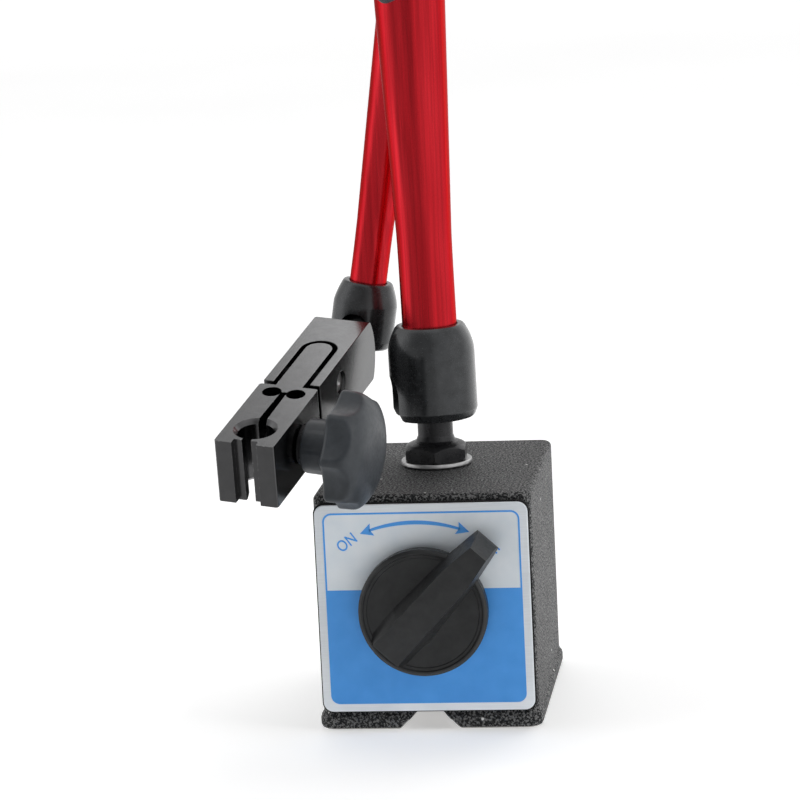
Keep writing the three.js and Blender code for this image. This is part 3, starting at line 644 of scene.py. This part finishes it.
def stud():
    across_flats, facing = 14, -27
    corner = across_flats / 2 / math.cos(math.radians(30))
    around = [math.radians(60 * i + facing) for i in range(6)]
    hexagon = [(corner * math.cos(t), corner * math.sin(t)) for t in around]
    nut = prism(hexagon, 56.4, 60.6)
    crown = lathe([(0, 56.4), (7.6, 56.4, 0.2), (8.0, 56.9), (8.0, 58.9), (6.6, 60.0, 0.3), (5.4, 60.5, 0.3),
                   (0, 60.5)], 96)
    shape = object_of(mesh_of(nut))
    other = object_of(mesh_of(crown))
    m = shape.modifiers.new("b", "BOOLEAN")
    m.operation, m.solver, m.object = "INTERSECT", "EXACT", other
    evaluated(shape)
    verts = np.array([v.co for v in shape.data.vertices], float) / MM
    faces = [list(p.vertices) for p in shape.data.polygons]
    bpy.data.objects.remove(shape)
    bpy.data.objects.remove(other)
    neck = lathe([(0, 59), (5.3, 59), (5.3, 60.4), (4.6, 60.9, 0.6), (4.15, 62.0, 0.8), (4.15, 66.1, 0.2),
                  (3, 66.1), (3, 76, 0.3), (0, 76)], 96)
    thread = rod(3.98, 47.6, 57, 48, 0.3)
    return carve((verts, faces), plus=[neck, thread])


piece("mounting_stud", stud(), STUD, "base", BLACK_STEEL, ("base_stud",), bevel=0.14)

# ---- switch -------------------------------------------------------------------------------
SEAT = 30 + 0.1 + 0.7 + 0.8 + 0.3   # half the block, then gap, pad, plate and gap


def switch():
    disc = lathe([(0, 0), (14.2, 0, 0.3), (14.8, 0.7, 0.3), (14.8, 3.3, 0.35), (14.1, 3.8, 0.3),
                  (13.75, 3.8, 0.2), (13.55, 3.35, 0.15), (12.95, 3.3, 0.1), (12.8, 3.05, 0.15),
                  (8, 2.85, 2.0), (0, 2.8)], 144)
    # along the lever: distance from the axis, half width at the foot, half width of the crest, crest height
    sections = [(-13.7, 4.3, 3.5, 0.7), (-13.0, 5.8, 3.7, 1.1), (-4, 5.8, 3.6, 3.4), (6, 5.1, 3.5, 5.5),
                (13, 4.6, 3.4, 6.8), (20.7, 3.5, 2.3, 7.9), (22.9, 3.1, 2.6, 1.6)]
    foot_z, floor_z, pointing = 2.4, 2.9, 47.3
    rings = []
    for u, low, high, h in sections:
        crest = floor_z + h
        rings.append([(u, -low, foot_z), (u, low, foot_z), (u, high, crest), (u, -high, crest)])
    bar = moved(loft(rings), turn(pointing, "Z"))
    return carve(disc, plus=[bar])


piece("switch_lever", switch(), DIAL @ shift(0, -SEAT, 0) @ TO_FRONT, "rotor", SWITCH,
      ("switch_knob",), bevel=0.32, segments=3, limit=24)
spindle = [(0, 24.0), (14.7, 24.0, 0.4), (14.7, 26.1, 0.3), (4.9, 26.1, 0.4), (4.9, 34.1, 0.4), (0, 34.1)]
piece("spindle_shaft", lathe(spindle, 96), DIAL @ TO_FRONT, "rotor", STEEL,
      ("rotor_spindle",))

# ---- arms ---------------------------------------------------------------------------------
# Each arm runs up its own Z from the middle of its ball. cup, bore, lip, rim, slot, tube and hub are radii;
# split, shoulder, top and straight are heights, mouth is a depth; half is half the hub's width.
ARM = {
    "lower": dict(cup=10.15, bore=7.8, mouth=6.1, lip=5.6, split=9.6, shoulder=9.2, swell=1.9, rim=7.95,
                  top=15.9, slot=4.5, tube=6.4, wall=1.5, straight=35.5, hub=13, half=8.5, taper=0.032,
                  length=LOWER_LENGTH, frame=LOWER),
    "upper": dict(cup=7.6, bore=5.9, mouth=5.0, lip=4.3, split=7.5, shoulder=5.2, swell=1.4, rim=5.85,
                  top=10.7, slot=3.6, tube=4.4, wall=1.2, straight=23, hub=11.5, half=6.8, taper=0.0285,
                  length=UPPER_LENGTH, frame=UPPER),
}


def slot_cutter(a, angle):
    reach = a["cup"] + 3
    top = moved(rod(a["slot"], 0, reach, 64), TO_X)
    below = brick(0.01, reach, -a["slot"], a["slot"], -a["mouth"] - 3, 0)
    return [moved(s, turn(angle, "Z")) for s in (top, below)]


def socket(a, angle):
    """Cup and dome in one turned shell, slotted on one side and open at both ends."""
    low = math.asin(a["lip"] / a["bore"])
    seat = [(a["bore"] * math.sin(t), -a["bore"] * math.cos(t)) for t in np.linspace(low, math.pi / 2, 14)]
    hole = a["tube"] + 0.18
    inside = [(a["bore"], a["split"] - 0.3), (hole, a["split"] + 0.3), (hole, a["top"] - 0.1),
              (hole + 0.15, a["top"])]
    dome = []
    for t in np.linspace(1, 0, 16):
        r = a["cup"] - (a["cup"] - a["rim"]) * t ** a["swell"]
        dome.append((r, a["shoulder"] + (a["top"] - a["shoulder"]) * t))
    dome = [(a["rim"] - 0.35, a["top"]), (a["rim"] - 0.1, a["top"] - 0.06)] + dome[1:]
    outside = [(a["cup"], 1.9 - a["mouth"], 1.2), (a["cup"] - 0.55, 0.5 - a["mouth"], 0.5),
               (a["cup"] - 1.0, -a["mouth"], 0.3), (a["lip"] + 0.4, -a["mouth"], 0.2)]
    return carve(lathe(seat + inside + dome + outside, 128), minus=slot_cutter(a, angle))


def tube(a):
    end = a["length"] - a["hub"] - 0.3
    wide = a["tube"] + (end - a["straight"]) * a["taper"]
    low = a["split"] + 0.4
    outside = [(a["tube"] - a["wall"], low), (a["tube"], low, 0.2)]
    for z in np.linspace(a["straight"] - 4, end - 1, 12):
        outside.append((a["tube"] + max(0.0, z - a["straight"]) * a["taper"], z))
    return lathe(outside + [(wide, end, 0.25), (wide - a["wall"], end, 0.2),
                            (a["tube"] - a["wall"], a["straight"])], 128)


def hub(a):
    end = a["length"] - a["hub"] - 0.3
    wide = min(a["tube"] + (end - a["straight"]) * a["taper"], a["half"] - 0.4)
    h, r, boss = a["half"], a["hub"], a["hub"] - 3.2
    drum = moved(lathe([(0, -h), (boss, -h), (boss, 0.35 - h, 0.1), (r, 0.35 - h, 1.1),
                        (r, h - 0.35, 1.1), (boss, h - 0.35), (boss, h, 0.2), (0, h)], 128),
                 shift(0, 0, a["length"]) @ TO_Y)
    neck = rod(wide, end + 0.1, a["length"] - 4, 96)
    spigot = rod(wide - a["wall"] - 0.6, end - 9, end + 1, 64)
    bore = moved(rod(6.3, -20, 20, 64), shift(0, 0, a["length"]) @ TO_Y)
    return carve(drum, plus=[neck, spigot], minus=[bore, rod(a["tube"] * 0.4, end - 12, a["length"], 32)])


# each slot opens towards the side on which the stud comes up when the joint folds
stud_way = UPPER.to_3x3().inverted() @ (-CLAMP.to_3x3().col[1])
SLOT = {"lower": 196.0, "upper": math.degrees(math.atan2(stud_way.y, stud_way.x))}
for side, prefix in (("lower", "lower"), ("upper", "tip")):
    a = ARM[side]
    body = side + "_arm"
    piece(prefix + "_cup", socket(a, SLOT[side]), a["frame"], body, SOCKET,
          (prefix + "_socket",), bevel=0.2, limit=42)
    piece(side + "_red_tube", tube(a), a["frame"], body, RED, (side + "_tube",))
    piece(side + "_hub_body", hub(a), a["frame"], body, BLOCK, (side + "_hub",), bevel=0.3)


def ball(radius, neck, bore):
    flat = -math.sqrt(radius ** 2 - neck ** 2) + 0.05
    pts = [(0, flat), (neck, flat, 0.1)]
    for t in np.linspace(math.asin(flat / radius) + 0.04, math.pi / 2, 40):
        pts.append((radius * math.cos(t), radius * math.sin(t)))
    pts[-1] = (0, radius)
    return carve(lathe(pts, 96), minus=[rod(bore, -20, radius * 0.5, 48)])


piece("lower_ball_head", ball(7.5, 4.15, 3.2), shift(*lower_ball), "ball_seat", BLACK_STEEL,
      ("lower_ball",))
piece("tip_ball_head", ball(5.6, 3.1, 2.4), CLAMP @ TO_Y, "tip_swivel", BLACK_STEEL,
      ("tip_ball",))


# ---- star grips ---------------------------------------------------------------------------
def star_ring(tip_r, valley, z, inset=0.0, lobe=1.5, count=8, samples=20):
    """Outline of rounded lobes joined by hollow curves, moved inwards by inset."""
    c = tip_r - lobe
    step = math.pi / count
    k = math.cos(step)
    hollow = (c * c + valley * valley - 2 * c * valley * k - lobe * lobe) / (2 * (lobe - valley + c * k))
    v = valley + hollow
    centre = np.array([c, 0.0])
    other = np.array([v * math.cos(step), v * math.sin(step)])
    join = math.atan2(*(other - centre)[::-1])
    back = math.atan2(*(centre - other)[::-1])
    facing = step + math.pi
    swing = back - facing
    swing = (swing + math.pi) % TAU - math.pi
    points = []
    half = samples // 2
    inner_r, outer_r = lobe - inset, hollow + inset
    for i in range(half):
        t = join * i / half
        points.append((c + inner_r * math.cos(t), inner_r * math.sin(t)))
    for i in range(half):
        t = facing + swing * (1 - i / half)
        points.append((other[0] + outer_r * math.cos(t), other[1] + outer_r * math.sin(t)))
    ring_points = []
    valley_r = v - outer_r
    for n in range(count):
        rot = TAU * n / count
        cr, sr = math.cos(rot), math.sin(rot)
        mirror = [(x * cr + y * sr, x * sr - y * cr, z) for x, y in points[1:]]
        lobe_half = [(x * cr - y * sr, x * sr + y * cr, z) for x, y in points]
        ring_points += mirror[::-1] + lobe_half
        a = rot + step
        ring_points.append((valley_r * math.cos(a), valley_r * math.sin(a), z))
    return ring_points


def star_grip(tip_r, valley, collar_r, collar_len, body):
    """A scalloped grip: its hollows run up the side and end where the round dome falls below them."""
    first = star_ring(tip_r, valley, 0)

    def circle(r, z):
        return [(r * x / math.hypot(x, y), r * y / math.hypot(x, y), z) for x, y, _ in first]

    def under(limit, z):
        """The star outline held softly within a circle."""
        ring_points = []
        for x, y, _ in first:
            r = math.hypot(x, y)
            low, high = min(r, limit), max(r, limit)
            soft = low - math.log1p(math.exp(-3.2 * (high - low))) / 3.2
            ring_points.append((x * soft / r, y * soft / r, z))
        return ring_points

    top = collar_len + body
    rings = [circle(collar_r * 0.55, 0.0), circle(collar_r - 0.5, 0.0), circle(collar_r - 0.15, 0.18),
             circle(collar_r, 0.6), circle(collar_r + 0.1, collar_len - 0.7),
             circle(collar_r + 0.35, collar_len - 0.15), circle(collar_r + 0.9, collar_len)]
    star = star_ring(tip_r, valley, 0, 1.1)
    rings.append([(0.5 * (a[0] + b[0]), 0.5 * (a[1] + b[1]), collar_len) for a, b in zip(rings[-1], star)])
    for t in np.radians([0, 22, 45, 67, 90]):
        rings.append(star_ring(tip_r, valley, collar_len + 1.0 * (1 - math.cos(t)), 1.0 * (1 - math.sin(t))))
    shoulder = top - 5.9
    for t in np.linspace(0, 1, 26)[:-1]:
        a = t * math.pi / 2
        z = shoulder + (top - shoulder) * math.sin(a) ** 1.1
        rings.append(under((tip_r + 0.25) * math.cos(a) ** 0.62 + 0.02, z))
    rings.append([(0, 0, top)])
    return loft(rings)


# positions along the clamp, from the middle of the tip ball
CLAMP_SCREW_AT, BORE_AT, ADJUSTER_AT, HINGE_AT = -60.4, -69, -42, -33.3
HINGE_Z = 2   # the cross pin lies a little above the clamp's middle

KNOB = CLAMP @ shift(8.9, CLAMP_SCREW_AT, 0) @ TO_X
piece("clamp_star_knob", star_grip(13.7, 11.9, 6.2, 7.3, 8.9), KNOB @ turn(-15, "Z"), "star_knob",
      SLATE, ("clamp_knob",), smooth=40)
clamp_rod = lathe([(0, -15.7), (2.0, -15.7), (2.5, -15.2), (2.5, -1.5), (4.6, -1.5, 0.3), (4.6, 0.1),
                   (2.5, 0.1), (2.5, 9.9, 0.3), (0, 9.9)], 64)
piece("clamp_screw_rod", clamp_rod, KNOB, "star_knob", BLACK_STEEL, ("clamp_screw",))
LOCK = ELBOW @ shift(0, -9.7, 0) @ TO_FRONT
piece("elbow_star_knob", star_grip(17, 15.0, 7.5, 3.4, 8.4), LOCK @ turn(32, "Z"), "elbow_knob",
      SLATE, ("lock_knob",), smooth=40)

# ---- clamp --------------------------------------------------------------------------------
HALF = 7.66   # half the height of head and fork


def plan(width, y0, y1):
    return rounded(width, y1 - y0, 0.6, 3, 0, (y0 + y1) / 2)


def tongue_plan(width, front, end):
    h = width / 2
    return [(-h, front), (h, front)] + arc(0, end - h, h, 0, 180, 28)


def clamp_head():
    block = prism(plan(14.2, -76.4, -48), -HALF, HALF)
    tongue = prism(tongue_plan(6.4, -50, -25.7), -3, HALF - 0.02)
    slit = prism([(-1.15, -78), (1.15, -78), (0.75, -51), (-0.75, -51)], -9, 9)
    bore = lathe([(0, -9), (6.4, -9), (4.05, -6.66), (4.05, 6.66), (6.4, 9), (0, 9)], 96)
    cuts = [slit, moved(bore, shift(0, BORE_AT, 0))]
    cuts += [moved(rod(2.25, -9, 9, 48), shift(x, -51.4, 0)) for x in (-2.9, 2.9)]
    cuts.append(brick(-2.95, 2.95, -78, -74.7, -9, 9))
    cuts.append(moved(rod(2.75, -9, 9, 48), shift(0, CLAMP_SCREW_AT, 0) @ TO_X))
    cuts.append(moved(rod(2.7, -9, 9, 48), shift(0, HINGE_AT, HINGE_Z) @ TO_X))
    cuts.append(moved(rod(2.5, -4, 5, 48), shift(0, ADJUSTER_AT, 0)))
    return carve(block, plus=[tongue], minus=cuts)


def clamp_fork():
    front = -46.4
    side = [(front, -HALF), (front, HALF), (-13.2, HALF), (-12.4, HALF - 0.3)]
    side += arc(-24.3, 0, 14, 31, -31, 20) + [(-12.8, -HALF + 0.1)]
    sideways = Matrix(((0, 0, 1, 0), (1, 0, 0, 0), (0, 1, 0, 0), (0, 0, 0, 1)))   # drawn in Y, Z; thick in X
    body = moved(prism(side, -6.85, 6.85), sideways)
    cuts = [prism(tongue_plan(8.8, -50, -24.5), -4.3, 9),
            moved(rod(2.4, -9, 8, 48), shift(0, ADJUSTER_AT, 0)),
            moved(rod(3.5, -6.3, -3.3, 48), shift(0, ADJUSTER_AT, 0)),
            moved(rod(2.65, -21, -5, 48), TO_Y),
            moved(rod(2.7, -9, 9, 48), shift(0, HINGE_AT, HINGE_Z) @ TO_X)]
    return carve(body, minus=cuts)


piece("slotted_head", clamp_head(), CLAMP, "head", BLOCK, ("clamp_head",),
      bevel=0.28, limit=36)
piece("fork_block", clamp_fork(), CLAMP, "fork", BLOCK, ("clamp_fork",),
      bevel=0.32, limit=36)
pin = lathe([(0, -6.3), (1.9, -6.3), (2.45, -6.0, 0.2), (2.45, 6.0, 0.2), (1.9, 6.3), (0.9, 6.3),
             (0.7, 5.8, 0.1), (0, 5.8)], 64)
piece("fork_pin", pin, CLAMP @ shift(0, HINGE_AT, HINGE_Z) @ TO_X, "fork", ZINC,
      ("cross_pin",))
tip_stud = lathe([(0, -20.5), (2.3, -20.5), (2.3, -10.6), (2.3, -10.3), (3.1, -10.3, 0.3), (3.1, -4.9, 0.2),
                  (2.2, -4.9), (2.2, 2.4, 0.3), (0, 2.4)], 64)
piece("tip_stud_shaft", tip_stud, CLAMP @ TO_Y, "fork", BLACK_STEEL, ("tip_stud",))


def thumb_screw():
    z1 = -HALF - 0.3
    z0 = z1 - 4.6
    verts, faces = lathe([(0, z0), (4.3, z0, 0.3), (4.95, z0 + 0.6, 0.2), (4.95, z1 - 0.9, 0.2),
                          (4.1, z1, 0.2), (2.0, z1), (2.0, 3.5, 0.3), (0, 3.5)], 144)
    radial = np.hypot(verts[:, 0], verts[:, 1])
    on_rim = radial > 4.9
    angle = np.arctan2(verts[:, 1], verts[:, 0])
    knurls, depth = 36, 0.022
    scale = np.where(on_rim, 1 + depth * np.cos(knurls * angle), 1.0)
    verts[:, :2] *= scale[:, None]
    return verts, faces


ADJUSTER = CLAMP @ shift(0, ADJUSTER_AT, 0)
piece("thumb_screw", thumb_screw(), ADJUSTER, "fine_screw", STEEL, ("adjust_screw",))


def coil(radius, wire, z0, z1, turns, n=90, around=10):
    rings = []
    for i in range(n + 1):
        t = i / n
        a = TAU * turns * t
        c = Vector((radius * math.cos(a), radius * math.sin(a), z0 + (z1 - z0) * t))
        out = Vector((math.cos(a), math.sin(a), 0))
        section = []
        for k in range(around):
            b = TAU * k / around
            section.append(tuple(c + out * wire * math.cos(b) + Vector((0, 0, wire * math.sin(b)))))
        rings.append(section)
    return loft(rings)


piece("lift_spring", coil(2.8, 0.33, -5.8, -4.15, 2), ADJUSTER, "fork", STEEL,
      ("adjust_spring",))

# ---- elbow hardware -----------------------------------------------------------------------
rear = ARM_OFFSET + ARM["upper"]["half"]   # back face of the upper arm's hub
bolt = lathe([(0, -17.6), (2.6, -17.6), (3, -17.2), (3, rear + 1.4), (5.4, rear + 1.4, 0.2),
              (5.4, rear + 4.1, 0.5), (5.0, rear + 4.4), (2.6, rear + 4.4), (2.3, rear + 2.6),
              (0, rear + 2.6)], 96)
piece("elbow_through_bolt", bolt, ELBOW @ TO_Y, "lower_arm", BLACK_STEEL, ("elbow_bolt",))
piece("rear_bolt_washer", ring(8.6, 3.3, rear + 0.3, rear + 1.2, 96, 0.2), ELBOW @ TO_Y, "lower_arm",
      STEEL, ("rear_washer",))
piece("front_knob_washer", ring(8, 3.3, -9.4, -8.7, 96, 0.15), ELBOW @ TO_Y, "lower_arm",
      STEEL, ("lock_washer",))

# CAD nodes that stay as they are get their own finish
KEPT = {
    "rotor_magnet": FERRITE, "rotor_upper_core": GROUND, "rotor_lower_core": GROUND, "stop_pin": STEEL,
    "front_bearing": BRASS, "tie_pin_1": BRASS, "tie_pin_2": BRASS, "tie_pin_3": BRASS, "tie_pin_4": BRASS,
    "lower_thrust_cup": BRASS, "upper_thrust_cup": BRASS, "lower_push_rod": STEEL, "upper_push_rod": STEEL,
    "lower_wedge": STEEL, "upper_wedge": STEEL, "friction_washer": BRASS,
}
for name, material in KEPT.items():
    o = frame["nodes"][name]
    o.data.materials.clear()
    o.data.materials.append(material)

# ---- room, light and camera ---------------------------------------------------------------
floor = object_of(mesh_of(brick(-9000, 9000, -9000, 9000, -20, 0)), "floor")
# the floor glows as well as being lit: painted light, stronger further away so the floor fades to white
floor_mat = Nodes("floor", (0.86, 0.86, 0.86), 0.0, 0.6, Emission_Color=(1, 1, 1, 1), Emission_Strength=0.36)
floor_mat.color(floor_mat.ramp(floor_mat.noise(180, 3.0), (0.3, (0.86, 0.86, 0.86)), (0.7, (0.9, 0.9, 0.9))))
away = floor_mat.new("ShaderNodeVectorMath", operation="LENGTH")
floor_mat.link(floor_mat.mm, away.inputs[0])
far_floor_glow = floor_mat.new("ShaderNodeMapRange")
for key, value in (("From Min", 500), ("From Max", 2600), ("To Min", 0.36), ("To Max", 0.75)):
    far_floor_glow.inputs[key].default_value = value
floor_mat.link(away.outputs["Value"], far_floor_glow.inputs["Value"])
floor_mat.link(far_floor_glow.outputs["Result"], floor_mat.bsdf.inputs["Emission Strength"])
floor.data.materials.append(floor_mat.mat)

world = bpy.data.worlds.new("studio")
world.use_nodes = True
tree = world.node_tree
sky = tree.nodes.new("ShaderNodeTexCoord")
split = tree.nodes.new("ShaderNodeSeparateXYZ")
tree.links.new(sky.outputs["Generated"], split.inputs[0])
fade = tree.nodes.new("ShaderNodeMapRange")   # dim room in front, bright wall behind
fade.inputs["From Min"].default_value, fade.inputs["From Max"].default_value = -0.6, 0.6
fade.inputs["To Min"].default_value, fade.inputs["To Max"].default_value = 0.03, 0.7
tree.links.new(split.outputs["Y"], fade.inputs["Value"])
tree.links.new(fade.outputs["Result"], tree.nodes["Background"].inputs["Strength"])
tree.nodes["Background"].inputs["Color"].default_value = (1, 1, 1, 1)
bpy.context.scene.world = world
bpy.context.scene.view_settings.view_transform = "Standard"

middle = Vector((BASE.translation.x, BASE.translation.y, 100)) * MM


def softbox(name, azimuth, elevation, distance, size, watts, tall=None):
    light = bpy.data.lights.new(name, "AREA")
    light.shape, light.size, light.size_y, light.energy = "RECTANGLE", size, tall or size, watts
    o = bpy.data.objects.new(name, light)
    a, e = math.radians(azimuth), math.radians(elevation)
    back = Vector((math.sin(a) * math.cos(e), -math.cos(a) * math.cos(e), math.sin(e)))
    o.location = middle + back * distance
    o.rotation_mode = "QUATERNION"
    o.rotation_quaternion = (-back).to_track_quat("-Z", "Y")
    bpy.context.scene.collection.objects.link(o)


softbox("key", -82, 30, 1.1, 0.4, 4.0, 0.9)
softbox("side", 75, 20, 1.1, 0.5, 4.6, 0.9)
softbox("top", 170, 60, 1.2, 0.9, 4.4)

# cards round the front that only reflections see: what the glossy parts mirror in a dim studio
CARDS = ((-165, 1.2), (-130, 0.6), (-105, 0.9), (-85, 1.0), (-68, 0.45), (-45, 0.38), (-12, 0.28), (0, 0.26),
         (10, 0.36), (20, 0.62), (50, 0.66), (80, 0.6), (105, 0.66), (120, 1.3), (165, 1.6))


def card_wall():
    n, radius, inner = 120, 420, 62
    angles = [-165 + 330 * i / n for i in range(n + 1)]
    rows = [(inner, 1.5), (radius, 1.5), (radius, 420), (90, 560)]
    turns = np.radians(angles)
    verts = [(r * math.sin(t), -r * math.cos(t), z) for r, z in rows for t in turns]
    step = n + 1
    faces = []
    for k in range(len(rows) - 1):
        for i in range(n):
            near, far = k * step + i, (k + 1) * step + i
            faces.append([near, near + 1, far + 1, far])
    me = bpy.data.meshes.new("cards")
    me.from_pydata([tuple((np.array(v) + np.array(BASE.translation)) * MM) for v in verts], [], faces)
    wall = np.interp(angles, *zip(*CARDS))
    tone = me.attributes.new("tone", "FLOAT", "POINT")
    under = np.interp(angles, [-130, -105, -96, -84, -72, -40, -15, 8, 22, 100, 140],
                      [0.6, 1.0, 1.3, 1.2, 0.6, 0.58, 0.54, 0.56, 0.9, 0.84, 1.2])
    overhead = np.interp(np.abs(angles), [70, 120], [1.35, 0.5])
    tone.data.foreach_set("value", np.concatenate([under, under, wall, overhead]).astype(np.float32))
    o = object_of(me, "cards")
    mat = bpy.data.materials.new("cards")
    mat.use_nodes = True
    nodes = mat.node_tree
    nodes.nodes.remove(nodes.nodes["Principled BSDF"])
    glow = nodes.nodes.new("ShaderNodeEmission")
    value = nodes.nodes.new("ShaderNodeAttribute")
    value.attribute_name = "tone"
    nodes.links.new(value.outputs["Fac"], glow.inputs["Strength"])
    nodes.links.new(glow.outputs[0], nodes.nodes["Material Output"].inputs["Surface"])
    me.materials.append(mat)
    o.visible_camera = o.visible_diffuse = o.visible_shadow = o.visible_transmission = False


card_wall()

camera = bpy.data.objects.new("camera", bpy.data.cameras.new("camera"))
bpy.context.scene.collection.objects.link(camera)
bpy.context.scene.camera = camera
eye = Vector((105.6, -850.29, 235.63))
right, upward = Vector((0.9913, 0.1228, -0.0471)).normalized(), Vector((0.0228, 0.1928, 0.981))
backward = right.cross(upward).normalized()
upward = backward.cross(right)
place = basis((BASE @ eye) * MM, right, upward, backward)
camera.matrix_world = place
camera.data.lens, camera.data.sensor_width = 167.87, 36
camera.data.clip_start, camera.data.clip_end = 0.05, 30
